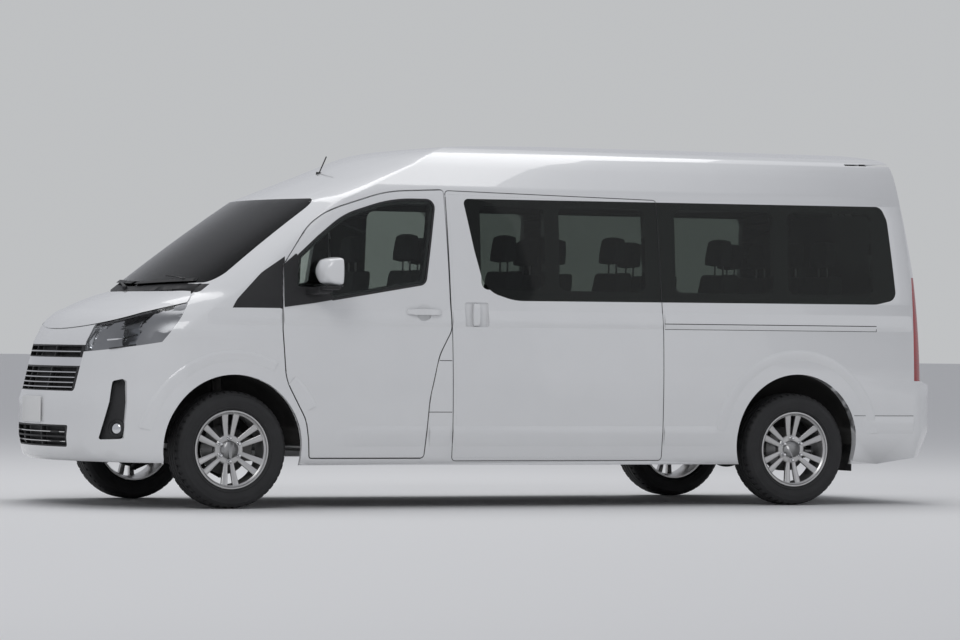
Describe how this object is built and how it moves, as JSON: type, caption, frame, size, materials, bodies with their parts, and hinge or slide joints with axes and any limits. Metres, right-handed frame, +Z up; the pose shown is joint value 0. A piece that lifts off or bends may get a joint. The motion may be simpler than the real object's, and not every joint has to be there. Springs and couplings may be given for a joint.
{
  "type": "minibus",
  "caption": "High-roofed minibus with a short bonnet, a sliding side door, a lift-up tailgate, turning wheels and linked steering.",
  "frame": {"origin": "on the ground under the middle of the bus", "axes": "+X to the rear, +Y to the right, +Z up"},
  "size_m": [5.915, 2.464, 2.28],
  "materials": {
    "body_paint": "white gloss paint",
    "pane": "dark tinted pane",
    "screen": "clear windscreen",
    "lens_clear": "clear lens over reflectors",
    "lens_red": "red lens",
    "black_plastic": "grained black",
    "bright": "bright plated",
    "under": "black underbody paint",
    "iron": "bare casting",
    "steel": "turned steel",
    "rim_alloy": "machined and lacquered",
    "tyre": "black rubber",
    "seat_cloth": "dark woven cloth",
    "trim": "dark grey grained",
    "tank": "moulded black"
  },
  "bodies": {
    "root": {"side_left": "body_paint", "side_right": "body_paint", "sliding_door": "body_paint", "roof": "body_paint", "windscreen": "screen", "fenders": "body_paint", "headlamps": "lens_clear", "front_bumper": "body_paint", "front_panel": "body_paint", "tail_lamps": "lens_red", "fog_lamps": "black_plastic", "rear_bumper": "body_paint", "cowl": "black_plastic", "grille": "black_plastic", "grille_bar": "bright", "wheel_houses": "under", "floor_pan": "under", "dashboard": "trim", "front_seats": "seat_cloth", "rear_seats": "seat_cloth", "seat_frames": "trim", "engine": "iron", "fuel_tank": "tank", "propshaft": "under", "rear_axle": "under", "rear_springs": "under", "front_subframe": "under", "exhaust": "steel", "side_glass": "pane", "wipers": "black_plastic", "antenna": "black_plastic", "mud_flaps": "black_plastic"},
    "door_left": {"door_left": "body_paint", "door_glass_left": "pane", "mirror_left": "body_paint"},
    "door_right": {"door_right": "body_paint", "door_glass_right": "pane", "mirror_right": "body_paint"},
    "bonnet": {"bonnet": "body_paint"},
    "tailgate": {"tailgate": "body_paint", "tailgate_glass": "pane"},
    "knuckle_left": {"knuckle_left": "iron"},
    "knuckle_right": {"knuckle_right": "iron"},
    "steering_wheel": {"steering_wheel": "trim"},
    "wheel_front_left": {"tyre_front_left": "tyre", "rim_front_left": "rim_alloy", "hub_front_left": "steel"},
    "wheel_front_right": {"tyre_front_right": "tyre", "rim_front_right": "rim_alloy", "hub_front_right": "steel"},
    "wheel_rear_left": {"tyre_rear_left": "tyre", "rim_rear_left": "rim_alloy", "hub_rear_left": "steel"},
    "wheel_rear_right": {"tyre_rear_right": "tyre", "rim_rear_right": "rim_alloy", "hub_rear_right": "steel"}
  },
  "joints": [
    {"name": "door_left_swing", "type": "hinge", "parent": "root", "child": "door_left", "pos_m": [-1.7375, -0.951, 0.8], "axis": [0, 0, -1], "range_deg": [0, 70]},
    {"name": "door_right_swing", "type": "hinge", "parent": "root", "child": "door_right", "pos_m": [-1.7375, 0.951, 0.8], "axis": [0, 0, 1], "range_deg": [0, 70]},
    {"name": "bonnet_lift", "type": "hinge", "parent": "root", "child": "bonnet", "pos_m": [-2.1475, 0, 1.318], "axis": [0, 1, 0], "range_deg": [0, 55]},
    {"name": "tailgate_lift", "type": "hinge", "parent": "root", "child": "tailgate", "pos_m": [2.6475, 0, 2.168], "axis": [0, -1, 0], "range_deg": [0, 85]},
    {"name": "left_knuckle_turn", "type": "hinge", "parent": "root", "child": "knuckle_left", "pos_m": [-2.0075, -0.758, 0.225], "axis": [0, 0.1825, 0.9832], "range_deg": [-33, 33]},
    {"name": "right_knuckle_turn", "type": "hinge", "parent": "root", "child": "knuckle_right", "pos_m": [-2.0075, 0.758, 0.225], "axis": [0, -0.1825, 0.9832], "range_deg": [-33, 33]},
    {"name": "steering_turn", "type": "hinge", "parent": "root", "child": "steering_wheel", "pos_m": [-1.3875, 0.43, 1.215], "axis": [0.788, 0, 0.6157], "range_deg": [-540, 540]},
    {"name": "front_left_spin", "type": "hinge", "parent": "knuckle_left", "child": "wheel_front_left", "pos_m": [-2.0075, -0.8375, 0.356], "axis": [0, 1, 0], "continuous": true},
    {"name": "rear_left_spin", "type": "hinge", "parent": "root", "child": "wheel_rear_left", "pos_m": [1.8525, -0.8375, 0.356], "axis": [0, 1, 0], "continuous": true},
    {"name": "front_right_spin", "type": "hinge", "parent": "knuckle_right", "child": "wheel_front_right", "pos_m": [-2.0075, 0.8375, 0.356], "axis": [0, 1, 0], "continuous": true},
    {"name": "rear_right_spin", "type": "hinge", "parent": "root", "child": "wheel_rear_right", "pos_m": [1.8525, 0.8375, 0.356], "axis": [0, 1, 0], "continuous": true}
  ],
  "couplings": [
    {"joint": "right_knuckle_turn", "follows": "left_knuckle_turn", "ratio": 1},
    {"joint": "steering_turn", "follows": "left_knuckle_turn", "ratio": 16.344}
  ]
}
